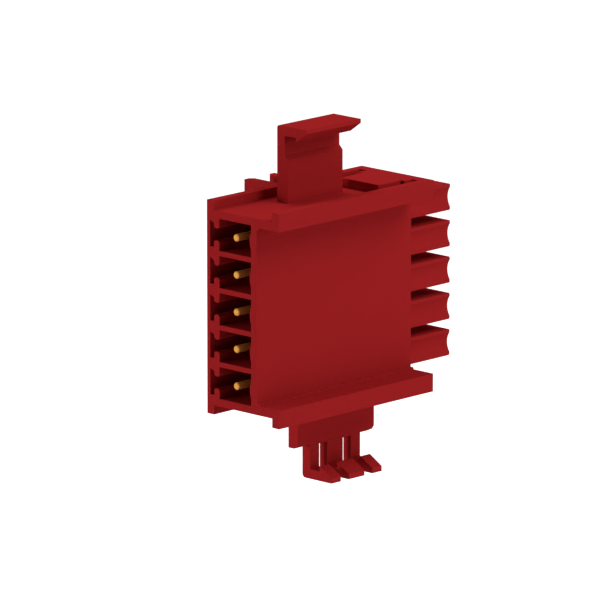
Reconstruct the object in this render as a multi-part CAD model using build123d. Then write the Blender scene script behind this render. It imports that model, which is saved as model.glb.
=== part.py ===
import os

from build123d import *

# A five-pole bus connector for a 35 mm top-hat rail. Modules sit side by side on the rail: the pins in
# the header at the left end (-X) go into the socket fingers of the module on their left, and a device
# plugs into the slot on the +Y side.
# Frame: X along the rail, +Y away from the rail, Z up. The origin is on the front plane of the rail's
# flanges, halfway between their outer edges and in the middle of the module. All sizes are in mm.

# Poles
pole_count = 5
pole_pitch = 3.81

# Housing section across the rail
module_width = 22.5
body_rise = 0.55  # middle of the body above the middle of the rail
device_face_y = 4.3  # flat back of the body, in front of the rail's flanges
roof_thickness = 0.78  # over the first cell and under the last one
rim_height = 0.95  # rims and lips above the trough's floor
rim_depth = 0.95
flange_thickness = 0.93
flange_reach = 3.12  # from the rail plate to the lips' faces
lip_depth = 0.97
plate_thickness = 0.78
ridge_depth = 0.4  # small ridge where the flanges leave the plate
ridge_height = 0.2

# Header cells
cell_height = 3.3
cell_depth = 4.42
key_skin = 0.43  # wall outside the keyway
key_head_depth = 0.55
key_head_height = 2.7
key_neck_depth = 0.75
key_neck_height = 1.25
key_chamfer = 0.25
tooth_radius = 0.28
bulge_height = 1.75
bulge_rise = 0.19
mating_gap = 0.3  # left between a finger's end and the bottom of the cell
partition_thickness = 1.5

# Socket comb
finger_length = 6.78
finger_gap_z = 0.27  # between a finger and the cell, above and below
finger_gap_y = 0.13
key_gap = 0.13
dish_height = 2.06
dish_rise = 0.33
comb_seat_length = 3.6
comb_clearance = 0.04
finger_end_radius = 0.15

# Contacts
pin_diameter = 0.75
pin_tip_inset = 0.1  # pin tip behind the header's mouth
pin_tip_chamfer = 0.1
tail_diameter = 0.4  # tails of pin and socket, riveted in the spring's arms
press_clearance = 0.02  # radial, between a contact and what it is pressed into
socket_bore_diameter = 0.8
socket_wall = 0.45
socket_slot_width = 0.2
socket_slot_length = 4.0
socket_head_start = 1.1  # hollow head of the socket, from the comb's inner face
finger_mouth_thickness = 0.75
mouth_diameter = 1.1
mouth_flare = 0.3

# Device slot and springs
slot_offset = 0.4  # middle of the slot from the middle of the module
slot_width = 2.2
wall_thickness = 1.08
wall_reach = 4.0
wall_chamfer = 0.4
window_height = 2.1
back_wall_thickness = 0.95
spring_thickness = 0.2
spring_width = 1.7
spring_side_gap = 0.06
spring_grip = 1.3  # open width between the contact points
spring_grip_reach = 2.3  # contact points in front of the device face
spring_tip_reach = 3.2
spring_bend_radius = 0.5
spring_depth = 5.1  # bottom of the spring behind the device face

# Rail and clips
rail_height = 35.0  # over the flanges
rail_flange = 1.0
rail_play = 0.12
hook_offset = -0.04  # middle of the hook from the middle of the module
hook_width = 7.93
hook_thickness = 1.52
hook_relief = 0.46
hook_relief_height = 2.05
hook_arm_thickness = 1.0
hook_barb_height = 0.43
hook_nose_thickness = 0.42
clip_lead_in = 1.4
hook_corner_radius = 0.3
foot_offset = 3.12  # middle of the foot from the middle of the module
foot_block_offset = 2.99
foot_block_width = 11.22
foot_block_height = 4.6
foot_block_depth = 1.3
foot_block_chamfer = 0.55  # on the corner away from the header
foot_block_bevel = 0.25  # along the lower front edge, twice as deep as it is high
foot_arm_width = 7.4
foot_relief = 0.26
foot_slot_width = 1.17
middle_toe_width = 2.3
toe_thickness = 1.0
toe_barb_height = 0.52
toe_nose_thickness = 0.55
toe_corner_radius = 0.4
toe_inner_radius = 0.2

# Raised block and ramps in the top trough
end_bar_width = 1.3
block_width = 5.7
block_back = 2.5  # back of the block from the device face
block_depth = 5.25
ramp_length = 2.0
ramp_step = 0.15
jog_length = 1.1  # the block widens a little before it meets the end bar
jog_width = 0.5

# Places worked out from the sizes
left_x = -module_width / 2
right_x = module_width / 2
body_height = (pole_count - 1) * pole_pitch + cell_height + 2 * (roof_thickness + rim_height)
top_z = body_rise + body_height / 2
bottom_z = body_rise - body_height / 2
floor_z = top_z - rim_height
bottom_floor_z = bottom_z + rim_height
cell_far_y = device_face_y - key_skin - key_head_depth - key_neck_depth
cell_near_y = cell_far_y - cell_depth
pole_y = (cell_far_y + cell_near_y) / 2
plate_y = cell_near_y - plate_thickness
lip_face_y = plate_y - flange_reach
lip_back_y = lip_face_y + lip_depth
header_depth = finger_length + mating_gap
partition_end_x = left_x + header_depth + partition_thickness
comb_x = right_x - comb_seat_length
slot_left_x = slot_offset - slot_width / 2
slot_right_x = slot_offset + slot_width / 2
pole_heights = [body_rise + pole_pitch * ((pole_count - 1) / 2 - i) for i in range(pole_count)]
barb_y = -rail_flange - rail_play
nose_y = barb_y - clip_lead_in
pocket_top_z = rail_height / 2
pocket_bottom_z = -rail_height / 2


def outline(plane, points, radii=None):
    """Face inside a closed outline, with a radius at each corner where radii are given."""
    if radii is None:
        edges = Polyline(*points, close=True)
    else:
        edges = FilletPolyline(*points, radius=radii, close=True)
    return make_face(plane * edges)


def prism(plane, points, length, radii=None):
    """Outline drawn on a plane and extruded along the plane's normal."""
    return extrude(outline(plane, points, radii), length, dir=plane.z_dir)


def block(x, y, z):
    """Box between two values on each axis."""
    size = [high - low for low, high in (x, y, z)]
    middle = [(high + low) / 2 for low, high in (x, y, z)]
    return Pos(*middle) * Box(*size)


def circle_through(height, rise):
    """Radius of the arc with this chord and rise."""
    return (height**2 / 4 + rise**2) / (2 * rise)


def body_section():
    """Section across the rail: device face, trough with rim and lip, flange, ridge and rail plate."""
    half = body_height / 2
    flange_edge = half - rim_height - flange_thickness
    upper = [
        (device_face_y, half),
        (device_face_y - rim_depth, half),
        (device_face_y - rim_depth, half - rim_height),
        (lip_back_y, half - rim_height),
        (lip_back_y, half),
        (lip_face_y, half),
        (lip_face_y, flange_edge),
        (plate_y - ridge_depth, flange_edge),
        (plate_y - ridge_depth, flange_edge - ridge_height),
        (plate_y, flange_edge - ridge_height),
    ]
    lower = [(y, -z) for y, z in reversed(upper)]
    return Pos(0, 0, body_rise) * outline(Plane.YZ.offset(left_x), upper + lower)


def cell_section():
    """Opening of one header cell, with its keyway on the device side and a bulge on the rail side."""
    neck_far_y = cell_far_y + key_neck_depth
    key_far_y = neck_far_y + key_head_depth
    half_neck = key_neck_height / 2
    half_head = key_head_height / 2
    half_cell = cell_height / 2
    points = [
        (cell_near_y, -half_cell),
        (cell_far_y, -half_cell),
        (cell_far_y, -half_neck),
        (neck_far_y, -half_neck),
        (neck_far_y, -half_head),
        (key_far_y, -half_head),
        (key_far_y, half_head),
        (neck_far_y, half_head - key_chamfer),
        (neck_far_y, half_neck),
        (cell_far_y, half_neck),
        (cell_far_y, half_cell),
        (cell_near_y, half_cell),
    ]
    radii = [0, 0, tooth_radius, tooth_radius, 0, 0, 0, 0, tooth_radius, tooth_radius, 0, 0]
    plane = Plane.YZ.offset(left_x)
    radius = circle_through(bulge_height, bulge_rise)
    bulge = plane * Pos(cell_near_y + bulge_rise - radius, 0) * Circle(radius)
    return outline(plane, points, radii) - bulge


def header_cells():
    """Five keyed cells, open at the left end."""
    cell = extrude(cell_section(), header_depth, dir=(1, 0, 0))
    return [Pos(0, 0, z) * cell for z in pole_heights]


def inner_chambers():
    """Chamber, pin hole and spring window of each pole, behind the header."""
    tools = []
    for z in pole_heights:
        chamber = block(
            (partition_end_x, comb_x),
            (cell_near_y, device_face_y - back_wall_thickness),
            (z - cell_height / 2, z + cell_height / 2),
        )
        window = block(
            (slot_left_x, slot_right_x),
            (device_face_y - back_wall_thickness, device_face_y),
            (z - window_height / 2, z + window_height / 2),
        )
        pin_hole = Pos((left_x + header_depth + partition_end_x) / 2, pole_y, z) * (
            Rot(0, 90, 0) * Cylinder(tail_diameter / 2 + press_clearance, partition_thickness)
        )
        tools += [chamber, window, pin_hole]
    return tools


def comb_seat():
    """Pocket in the right end for the root of the socket comb."""
    half = (pole_count - 1) * pole_pitch / 2 + cell_height / 2
    return block(
        (comb_x, right_x),
        (cell_near_y, device_face_y - back_wall_thickness),
        (body_rise - half, body_rise + half),
    )


def device_walls():
    """Two walls that guide the edge of the device's board, with a lead-in on their inner edges."""
    tip_y = device_face_y + wall_reach
    plane = Plane.XY.offset(bottom_z)
    left_wall = [
        (slot_left_x - wall_thickness, device_face_y),
        (slot_left_x, device_face_y),
        (slot_left_x, tip_y - wall_chamfer),
        (slot_left_x - wall_chamfer, tip_y),
        (slot_left_x - wall_thickness, tip_y),
    ]
    right_wall = [(2 * slot_offset - x, y) for x, y in left_wall]
    return [prism(plane, wall, body_height) for wall in (left_wall, right_wall)]


def hook():
    """Fixed hook over the rail's upper edge, with a relieved post and a barb under its arm."""
    back_y = hook_thickness
    relief_top_z = pocket_top_z - hook_relief_height
    points = [
        (back_y, floor_z),
        (0, floor_z),
        (0, relief_top_z - hook_relief),
        (hook_relief, relief_top_z),
        (hook_relief, pocket_top_z),
        (barb_y, pocket_top_z),
        (barb_y, pocket_top_z - hook_barb_height),
        (nose_y, pocket_top_z + hook_arm_thickness - hook_nose_thickness),
        (nose_y, pocket_top_z + hook_arm_thickness),
        (back_y, pocket_top_z + hook_arm_thickness),
    ]
    radii = [0] * (len(points) - 1) + [hook_corner_radius]
    return prism(Plane.YZ.offset(hook_offset - hook_width / 2), points, hook_width, radii)


def foot_toes():
    """Arm and toes of the foot before they are slotted."""
    back_y = foot_block_depth
    sole_z = pocket_bottom_z - toe_thickness
    points = [
        (back_y, bottom_floor_z),
        (foot_relief, bottom_floor_z),
        (foot_relief, pocket_bottom_z),
        (barb_y, pocket_bottom_z),
        (barb_y, pocket_bottom_z + toe_barb_height),
        (nose_y - foot_relief, sole_z + toe_nose_thickness),
        (nose_y - foot_relief, sole_z),
        (back_y, sole_z),
    ]
    radii = [0, 0, toe_inner_radius, 0, 0, 0, 0, toe_corner_radius]
    plane = Plane.YZ.offset(foot_offset - foot_arm_width / 2)
    return prism(plane, points, foot_arm_width, radii)


def foot():
    """Springy foot: a block under the body, and an arm split into three toes."""
    block_z = bottom_z - foot_block_height
    start_x = foot_block_offset - foot_block_width / 2
    end_x = foot_block_offset + foot_block_width / 2
    points = [
        (start_x, bottom_floor_z),
        (start_x, block_z),
        (end_x - foot_block_chamfer, block_z),
        (end_x, block_z + foot_block_chamfer),
        (end_x, bottom_floor_z),
    ]
    plane = Plane((0, foot_block_depth, 0), x_dir=(1, 0, 0), z_dir=(0, -1, 0))
    upper_block = prism(plane, points, foot_block_depth)
    bevel = [(0, block_z), (2 * foot_block_bevel, block_z), (0, block_z + foot_block_bevel)]
    upper_block -= prism(Plane.YZ.offset(start_x), bevel, foot_block_width)
    toes = foot_toes()
    for side in (-1, 1):
        middle = foot_offset + side * (middle_toe_width + foot_slot_width) / 2
        toes -= block(
            (middle - foot_slot_width / 2, middle + foot_slot_width / 2),
            (nose_y - 1, foot_block_depth),
            (pocket_bottom_z - toe_thickness, block_z),
        )
    return [upper_block, toes]


def trough_end():
    """Raised block, end bar and ramped grooves at the right end of the top trough."""
    bar_x = right_x - end_bar_width
    ramp = [
        (bar_x - ramp_length, floor_z),
        (right_x, floor_z),
        (right_x, top_z),
        (bar_x, top_z),
        (bar_x, top_z - ramp_step),
    ]
    plane = Plane((0, device_face_y - rim_depth, 0), x_dir=(1, 0, 0), z_dir=(0, -1, 0))
    trough_depth = device_face_y - rim_depth - lip_back_y
    bar = prism(plane, ramp, trough_depth)
    front_y = device_face_y - block_back - block_depth
    raised = block((right_x - block_width, right_x), (front_y, device_face_y - block_back), (floor_z, top_z))
    jog = block(
        (bar_x - jog_length, right_x),
        (front_y - jog_width, device_face_y - block_back + jog_width),
        (floor_z, top_z),
    )
    return [bar, raised, jog]


def make_housing():
    """The housing is one moulding."""
    solid = extrude(body_section(), module_width, dir=(1, 0, 0))
    solid += trough_end() + device_walls() + [hook()] + foot()
    solid -= header_cells() + inner_chambers() + [comb_seat()]
    return solid


def finger_section(plane):
    """Section of one finger: keyed rib on the device side, dish on the rail side."""
    far_y = cell_far_y - finger_gap_y
    near_y = cell_near_y + finger_gap_y
    half = cell_height / 2 - finger_gap_z
    half_neck = key_neck_height / 2 - key_gap
    half_head = key_head_height / 2 - key_gap - key_chamfer
    neck_y = cell_far_y + key_neck_depth + key_gap
    head_y = neck_y + key_head_depth - 2 * key_gap
    points = [
        (near_y, -half),
        (far_y, -half),
        (far_y, -half_neck),
        (neck_y, -half_neck),
        (neck_y, -half_head),
        (head_y, -half_head),
        (head_y, half_head),
        (neck_y, half_head),
        (neck_y, half_neck),
        (far_y, half_neck),
        (far_y, half),
        (near_y, half),
    ]
    radius = circle_through(dish_height, dish_rise)
    dish = plane * Pos(near_y + dish_rise - radius, 0) * Circle(radius)
    return outline(plane, points) - dish


def finger_bore():
    """Room for one socket, and the mouth that guides the pin into it."""
    end_x = right_x + finger_length
    mouth_x = end_x - finger_mouth_thickness
    bore_radius = socket_bore_diameter / 2 + socket_wall + press_clearance
    flare_radius = mouth_diameter / 2 + mouth_flare
    points = [
        (comb_x, 0),
        (comb_x, bore_radius),
        (mouth_x, bore_radius),
        (mouth_x, mouth_diameter / 2),
        (end_x - mouth_flare, mouth_diameter / 2),
        (end_x, flare_radius),
        (end_x, 0),
    ]
    return Pos(0, pole_y, 0) * revolve(outline(Plane.XZ, points), Axis.X)


def make_socket_comb():
    """Root block in the housing's right end, with one finger for each pole."""
    half = (pole_count - 1) * pole_pitch / 2 + cell_height / 2 - comb_clearance
    root = block(
        (comb_x, right_x),
        (cell_near_y + comb_clearance, device_face_y - back_wall_thickness - comb_clearance),
        (body_rise - half, body_rise + half),
    )
    finger = extrude(finger_section(Plane.YZ.offset(right_x)), finger_length, dir=(1, 0, 0))
    end_x = right_x + finger_length
    rounded = [
        edge
        for edge in finger.edges().filter_by(Axis.Y).group_by(Axis.X)[-1]
        if edge.length > cell_depth / 2 and abs(edge.center().X - end_x) < finger_end_radius
    ]
    finger = fillet(rounded, finger_end_radius)
    comb = root
    bore = finger_bore()
    for z in pole_heights:
        comb += Pos(0, 0, z) * finger
    for z in pole_heights:
        comb -= Pos(0, 0, z) * bore
    return comb


def make_bus_pin():
    """Round pin: it seats on the partition, and its tail goes on to the spring's left arm."""
    tip_x = left_x + pin_tip_inset
    seat_x = left_x + header_depth
    tail_x = slot_left_x + spring_side_gap + spring_thickness
    radius = pin_diameter / 2
    tail_radius = tail_diameter / 2
    points = [
        (tip_x, 0),
        (tip_x, radius - pin_tip_chamfer),
        (tip_x + pin_tip_chamfer, radius),
        (seat_x, radius),
        (seat_x, tail_radius),
        (tail_x, tail_radius),
        (tail_x, 0),
    ]
    return Pos(0, pole_y, 0) * revolve(outline(Plane.XZ, points), Axis.X)


def make_bus_socket():
    """Turned socket: solid tail in the spring's right arm, hollow head with two slots in the finger."""
    tail_x = slot_right_x - spring_side_gap - spring_thickness
    head_x = comb_x + socket_head_start
    end_x = right_x + finger_length - finger_mouth_thickness - mating_gap / 2
    tail_radius = tail_diameter / 2
    bore_radius = socket_bore_diameter / 2
    head_radius = bore_radius + socket_wall
    points = [
        (tail_x, 0),
        (tail_x, tail_radius),
        (head_x, tail_radius),
        (head_x, head_radius),
        (end_x, head_radius),
        (end_x, bore_radius),
        (head_x + socket_wall, bore_radius),
        (head_x + socket_wall, 0),
    ]
    socket = revolve(outline(Plane.XZ, points), Axis.X)
    slot = block(
        (end_x - socket_slot_length, end_x),
        (-head_radius, head_radius),
        (-socket_slot_width / 2, socket_slot_width / 2),
    )
    return Pos(0, pole_y, 0) * (socket - slot)


def make_device_spring():
    """Strip bent to a U: its two arms grip the board from both sides and carry pin and socket."""
    half = slot_width / 2 - spring_side_gap - spring_thickness / 2
    grip_x = spring_grip / 2 + spring_thickness / 2
    base_y = device_face_y - spring_depth
    grip_y = device_face_y + spring_grip_reach
    tip_y = device_face_y + spring_tip_reach
    arm = [
        (half, base_y),
        (half, device_face_y),
        (grip_x, grip_y),
        (half, tip_y),
    ]
    path = [(-x, y) for x, y in reversed(arm)] + arm
    bends = [spring_bend_radius] * (len(path) - 2)
    centre_line = FilletPolyline(*path, radius=bends)
    strip = trace(centre_line, spring_thickness)
    spring = extrude(Plane.XY.offset(-spring_width / 2) * strip, spring_width, dir=(0, 0, 1))
    tail_hole = Rot(0, 90, 0) * Cylinder(tail_diameter / 2 + press_clearance, slot_width)
    return Pos(slot_offset, 0, 0) * (spring - Pos(0, pole_y, 0) * tail_hole)


def write(name, solid):
    export_step(solid, f"parts/{name}.step")


os.makedirs("parts", exist_ok=True)
write("housing", make_housing())
write("socket_comb", make_socket_comb())
contacts = {
    "bus_pin": make_bus_pin(),
    "bus_socket": make_bus_socket(),
    "device_spring": make_device_spring(),
}
for name, contact in contacts.items():
    for number, z in enumerate(pole_heights, start=1):
        write(f"{name}_{number}", Pos(0, 0, z) * contact)
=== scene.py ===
import math

import bpy
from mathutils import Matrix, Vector


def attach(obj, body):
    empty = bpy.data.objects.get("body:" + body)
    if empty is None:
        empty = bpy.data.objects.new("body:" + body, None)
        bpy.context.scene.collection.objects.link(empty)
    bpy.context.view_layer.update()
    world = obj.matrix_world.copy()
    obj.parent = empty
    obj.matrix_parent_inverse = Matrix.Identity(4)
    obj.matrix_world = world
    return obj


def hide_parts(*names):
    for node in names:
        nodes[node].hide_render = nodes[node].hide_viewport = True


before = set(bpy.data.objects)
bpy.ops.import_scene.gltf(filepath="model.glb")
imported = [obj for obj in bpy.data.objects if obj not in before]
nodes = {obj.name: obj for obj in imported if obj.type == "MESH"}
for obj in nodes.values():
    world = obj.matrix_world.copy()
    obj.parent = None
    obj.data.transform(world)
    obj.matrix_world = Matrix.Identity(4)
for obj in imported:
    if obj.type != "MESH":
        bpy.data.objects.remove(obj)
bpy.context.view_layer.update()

# A five-pole rail bus connector: red moulded polyamide with gold-plated contacts.
# Lengths in the dictionaries are millimetres, angles are degrees and colours are sRGB.

mm = 0.001
print("frame loaded:", len(nodes), "nodes")


# From an sRGB hex colour, by the sRGB curve, to the linear values that the nodes take.
def linearColour(hexColour):
    parts = [int(hexColour[i:i + 2], 16) / 255 for i in (1, 3, 5)]
    return [c / 12.92 if c <= 0.04045 else ((c + 0.055) / 1.055) ** 2.4 for c in parts] + [1.0]


# A setting is a property of the node, where it has one of that name, or else an input's value.
def addNode(tree, kind, settings=None, links=None):
    node = tree.nodes.new(kind)
    for key, value in (settings or {}).items():
        if hasattr(node, key):
            setattr(node, key, value)
        else:
            node.inputs[key].default_value = value
    for key, source in (links or {}).items():
        tree.links.new(source, node.inputs[key])
    return node


def newMaterial(name):
    material = bpy.data.materials.new(name)
    material.use_nodes = True
    material.node_tree.nodes.clear()
    return material, material.node_tree


# Polyamide, injection moulded in a spark-eroded tool: an even matt red that is a little
# deeper where the melt met cold steel, with a grain that breaks up the highlights.
mouldedPolyamide = dict(
    colour="#a22224",
    deepColour="#9f2123",
    cloudSize=9.0,  # slow change of the pigment along the flow
    cloudDetail=3.0,
    cloudRoughness=0.55,
    grainSize=0.22,  # the real grain is near 0.03 mm, drawn coarser so that it shows
    grainDetail=2.0,
    grainRoughness=0.6,
    grainDepth=0.0035,
    roughness=(0.6, 0.7),
    ior=1.53,
    specular=0.0,  # the grain scatters all gloss away, even at a flat angle
)


def makeMouldedPolyamide(look):
    material, tree = newMaterial("moulded_red_polyamide")
    place = addNode(tree, "ShaderNodeTexCoord").outputs["Object"]
    clouds = addNode(
        tree, "ShaderNodeTexNoise",
        {
            "Scale": 1 / (look["cloudSize"] * mm),
            "Detail": look["cloudDetail"],
            "Roughness": look["cloudRoughness"],
        },
        {"Vector": place},
    )
    grain = addNode(
        tree, "ShaderNodeTexNoise",
        {
            "Scale": 1 / (look["grainSize"] * mm),
            "Detail": look["grainDetail"],
            "Roughness": look["grainRoughness"],
        },
        {"Vector": place},
    )
    tint = addNode(
        tree, "ShaderNodeMix",
        {"data_type": "RGBA"},
        {"Factor": clouds.outputs["Fac"]},
    )
    tint.inputs[6].default_value = linearColour(look["deepColour"])
    tint.inputs[7].default_value = linearColour(look["colour"])
    low, high = look["roughness"]
    sheen = addNode(
        tree, "ShaderNodeMapRange",
        {"To Min": low, "To Max": high},
        {"Value": grain.outputs["Fac"]},
    )
    bump = addNode(
        tree, "ShaderNodeBump",
        {"Strength": 1.0, "Distance": look["grainDepth"] * mm},
        {"Height": grain.outputs["Fac"]},
    )
    shader = addNode(
        tree, "ShaderNodeBsdfPrincipled",
        {"IOR": look["ior"], "Specular IOR Level": look["specular"]},
        {
            "Base Color": tint.outputs[2],
            "Roughness": sheen.outputs["Result"],
            "Normal": bump.outputs["Normal"],
        },
    )
    addNode(tree, "ShaderNodeOutputMaterial", links={"Surface": shader.outputs["BSDF"]})
    return material


# Flash gold over nickel on a drawn and turned contact: warm metal with soft lines along its
# length, which runs along X.
platedGold = dict(
    colour="#c08d42",
    thinColour="#b48039",
    lineSize=0.09,  # drawing lines, drawn three times coarser than real
    lineStretch=30.0,
    lineDetail=2.0,
    lineRoughness=0.5,
    lineDepth=0.0012,
    roughness=(0.64, 0.74),
)


def makePlatedGold(look):
    material, tree = newMaterial("gold_plated_contact")
    place = addNode(tree, "ShaderNodeTexCoord").outputs["Object"]
    along = addNode(
        tree, "ShaderNodeMapping",
        {"Scale": (1 / look["lineStretch"], 1.0, 1.0)},
        {"Vector": place},
    )
    lines = addNode(
        tree, "ShaderNodeTexNoise",
        {
            "Scale": 1 / (look["lineSize"] * mm),
            "Detail": look["lineDetail"],
            "Roughness": look["lineRoughness"],
        },
        {"Vector": along.outputs["Vector"]},
    )
    tint = addNode(
        tree, "ShaderNodeMix",
        {"data_type": "RGBA"},
        {"Factor": lines.outputs["Fac"]},
    )
    tint.inputs[6].default_value = linearColour(look["thinColour"])
    tint.inputs[7].default_value = linearColour(look["colour"])
    low, high = look["roughness"]
    polish = addNode(
        tree, "ShaderNodeMapRange",
        {"To Min": low, "To Max": high},
        {"Value": lines.outputs["Fac"]},
    )
    bump = addNode(
        tree, "ShaderNodeBump",
        {"Strength": 1.0, "Distance": look["lineDepth"] * mm},
        {"Height": lines.outputs["Fac"]},
    )
    shader = addNode(
        tree, "ShaderNodeBsdfPrincipled",
        {"Metallic": 1.0},
        {
            "Base Color": tint.outputs[2],
            "Roughness": polish.outputs["Result"],
            "Normal": bump.outputs["Normal"],
        },
    )
    addNode(tree, "ShaderNodeOutputMaterial", links={"Surface": shader.outputs["BSDF"]})
    return material


redMoulding = makeMouldedPolyamide(mouldedPolyamide)
goldContact = makePlatedGold(platedGold)
print("materials ready")

# The body keeps the frame's crisp edges, as in the photograph. The comb's fingers are handled
# at each mating, so the mould leaves small radii on their edges.
mouldedBody = dict(
    piece="moulded_body",
    node="housing",
    slot="red_moulding",
    material=redMoulding,
    sharpFrom=24.0,
)
fingerComb = dict(
    piece="finger_comb",
    node="socket_comb",
    slot="red_moulding",
    material=redMoulding,
    sharpFrom=24.0,
    edgeRadius=0.025,
    edgeSegments=2,
)
joinDistance = 0.0005  # vertices of neighbouring facets
flatWithin = 0.3  # facets that lie in one plane


def roundEdges(piece, settings):
    bevel = piece.modifiers.new("edge_radius", "BEVEL")
    bevel.limit_method = "ANGLE"
    bevel.angle_limit = math.radians(settings["sharpFrom"])
    bevel.offset_type = "OFFSET"
    bevel.width = settings["edgeRadius"] * mm
    bevel.segments = settings["edgeSegments"]
    bevel.use_clamp_overlap = True
    bevel.harden_normals = False
    bpy.ops.object.modifier_apply(modifier=bevel.name)


# Joins a copy of the node's facets to whole faces, then gives it its edges, finish and shading.
def mouldedCopy(settings):
    source = nodes[settings["node"]]
    piece = bpy.data.objects.new(settings["piece"], source.data.copy())
    bpy.context.scene.collection.objects.link(piece)
    bpy.ops.object.select_all(action="DESELECT")
    piece.select_set(True)
    bpy.context.view_layer.objects.active = piece
    bpy.ops.mesh.customdata_custom_splitnormals_clear()
    bpy.ops.object.mode_set(mode="EDIT")
    bpy.ops.mesh.select_all(action="SELECT")
    bpy.ops.mesh.remove_doubles(threshold=joinDistance * mm)
    bpy.ops.mesh.dissolve_limited(angle_limit=math.radians(flatWithin))
    bpy.ops.object.mode_set(mode="OBJECT")
    if "edgeRadius" in settings:
        roundEdges(piece, settings)
    piece.data.materials.clear()
    piece.data.materials.append(settings["material"])
    bpy.ops.object.shade_smooth_by_angle(angle=math.radians(settings["sharpFrom"]))
    even = piece.modifiers.new("even_normals", "WEIGHTED_NORMAL")
    even.keep_sharp = True
    bpy.ops.object.modifier_apply(modifier=even.name)
    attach(piece, "root")
    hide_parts(settings["node"])
    print(settings["piece"], "ready:", len(piece.data.polygons), "faces")


mouldedCopy(mouldedBody)
mouldedCopy(fingerComb)

for name, node in nodes.items():
    if name.startswith(("bus_pin", "bus_socket", "device_spring")):
        node.data.materials.clear()
        node.data.materials.append(goldContact)
print("contacts ready")


# True for the rays that see the background itself: camera rays, and rays mirrored by metal
# or bent by glass.
def seesBackground(tree):
    rays = addNode(tree, "ShaderNodeLightPath")
    mirrored = addNode(
        tree, "ShaderNodeMath",
        {"operation": "MAXIMUM"},
        {0: rays.outputs["Is Glossy Ray"], 1: rays.outputs["Is Transmission Ray"]},
    )
    seen = addNode(
        tree, "ShaderNodeMath",
        {"operation": "MAXIMUM"},
        {0: rays.outputs["Is Camera Ray"], 1: mirrored.outputs[0]},
    )
    return seen.outputs[0]


# A plain pale floor, below the height at which the connector hangs on its rail. Its glow is
# only for the rays that see the background, and weaker near the part, where its shadow falls.
paleFloor = dict(
    height=-70.0,
    size=4000.0,
    colour="#f4f4f4",
    glow=(0.7, 1.0),  # near and far
    glowDistance=(300.0, 800.0),
)


def makeFloor(settings):
    bpy.ops.object.select_all(action="DESELECT")
    bpy.ops.mesh.primitive_plane_add(
        size=settings["size"] * mm, location=(0, 0, settings["height"] * mm)
    )
    floor = bpy.context.active_object
    floor.name = "pale_floor"
    material, tree = newMaterial("pale_floor")
    diffuse = addNode(tree, "ShaderNodeBsdfDiffuse", {"Color": linearColour(settings["colour"])})
    place = addNode(tree, "ShaderNodeTexCoord").outputs["Object"]
    away = addNode(tree, "ShaderNodeVectorMath", {"operation": "LENGTH"}, {0: place})
    near, far = settings["glowDistance"]
    low, high = settings["glow"]
    fade = addNode(
        tree, "ShaderNodeMapRange",
        {"From Min": near * mm, "From Max": far * mm, "To Min": low, "To Max": high},
        {"Value": away.outputs["Value"]},
    )
    glow = addNode(tree, "ShaderNodeEmission", links={"Strength": fade.outputs["Result"]})
    both = addNode(
        tree, "ShaderNodeAddShader",
        links={0: diffuse.outputs[0], 1: glow.outputs[0]},
    )
    seen = addNode(
        tree, "ShaderNodeMixShader",
        links={0: seesBackground(tree), 1: diffuse.outputs[0], 2: both.outputs[0]},
    )
    addNode(tree, "ShaderNodeOutputMaterial", links={"Surface": seen.outputs[0]})
    floor.data.materials.append(material)


makeFloor(paleFloor)
print("floor ready")

# Plain studio light: soft round boxes in front, above and behind, and low at the left, none
# beside the camera. Each lamp points at the connector.
studio = dict(
    colour="#ffffff",
    sky=0.02,
    background=1.0,
    lampDistance=450,
    lamps=[
        dict(name="front", azimuth=20, elevation=45, size=300, power=0.78),
        dict(name="front_low", azimuth=10, elevation=10, size=160, power=0.41),
        dict(name="right_high", azimuth=50, elevation=52, size=300, power=0.40),
        dict(name="back_high", azimuth=168, elevation=60, size=300, power=0.80),
        dict(name="overhead", azimuth=0, elevation=89, size=200, power=0.20),
        dict(name="left_low", azimuth=-114, elevation=6, size=120, power=0.76),
        dict(name="back_left", azimuth=-150, elevation=20, size=150, power=0.20),
    ],
)


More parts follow.
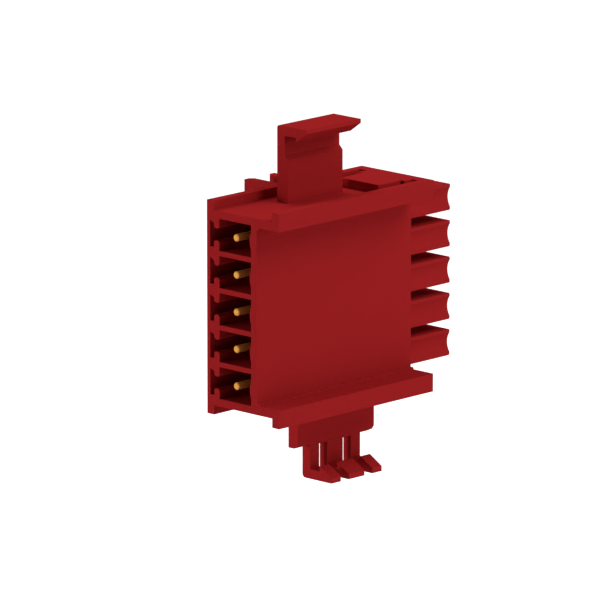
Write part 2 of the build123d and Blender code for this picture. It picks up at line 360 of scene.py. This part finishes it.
# Azimuth 0 is in front of the rail plate, and 90 is at the comb's end.
def directionFrom(azimuth, elevation):
    a, e = math.radians(azimuth), math.radians(elevation)
    return Vector((math.sin(a) * math.cos(e), -math.cos(a) * math.cos(e), math.sin(e)))


def makeStudio(settings):
    world = bpy.data.worlds.new("studio")
    bpy.context.scene.world = world
    world.use_nodes = True
    tree = world.node_tree
    tree.nodes.clear()
    white = linearColour(settings["colour"])
    sky = addNode(
        tree, "ShaderNodeBackground", {"Color": white, "Strength": settings["sky"]}
    )
    backdrop = addNode(
        tree, "ShaderNodeBackground", {"Color": white, "Strength": settings["background"]}
    )
    seen = addNode(
        tree, "ShaderNodeMixShader",
        links={0: seesBackground(tree), 1: sky.outputs[0], 2: backdrop.outputs[0]},
    )
    addNode(tree, "ShaderNodeOutputWorld", links={"Surface": seen.outputs[0]})
    for lamp in settings["lamps"]:
        data = bpy.data.lights.new(lamp["name"], "AREA")
        data.shape = "DISK"
        data.size = lamp["size"] * mm
        data.energy = lamp["power"]
        light = bpy.data.objects.new(lamp["name"], data)
        bpy.context.scene.collection.objects.link(light)
        away = directionFrom(lamp["azimuth"], lamp["elevation"])
        light.location = away * settings["lampDistance"] * mm
        light.rotation_euler = away.to_track_quat("Z", "Y").to_euler()


makeStudio(studio)
print("studio ready")

# The photograph's viewpoint, and the point of the connector that lies in the middle of its frame.
photoCamera = dict(
    azimuth=-46.069,
    elevation=12.928,
    distance=850.72,
    target=(-1.969, 0.300, 0.317),
    sensor=36.0,
    lens=506.35,
    clip=(10.0, 20000.0),
)


def makeCamera(settings):
    data = bpy.data.cameras.new("photo_camera")
    data.sensor_width = settings["sensor"]
    data.lens = settings["lens"]
    near, far = settings["clip"]
    data.clip_start = near * mm
    data.clip_end = far * mm
    camera = bpy.data.objects.new("photo_camera", data)
    bpy.context.scene.collection.objects.link(camera)
    away = directionFrom(settings["azimuth"], settings["elevation"])
    camera.location = Vector(settings["target"]) * mm + away * settings["distance"] * mm
    camera.rotation_euler = away.to_track_quat("Z", "Y").to_euler()
    bpy.context.scene.camera = camera


makeCamera(photoCamera)
bpy.context.scene.view_settings.view_transform = "Standard"
print("camera ready")
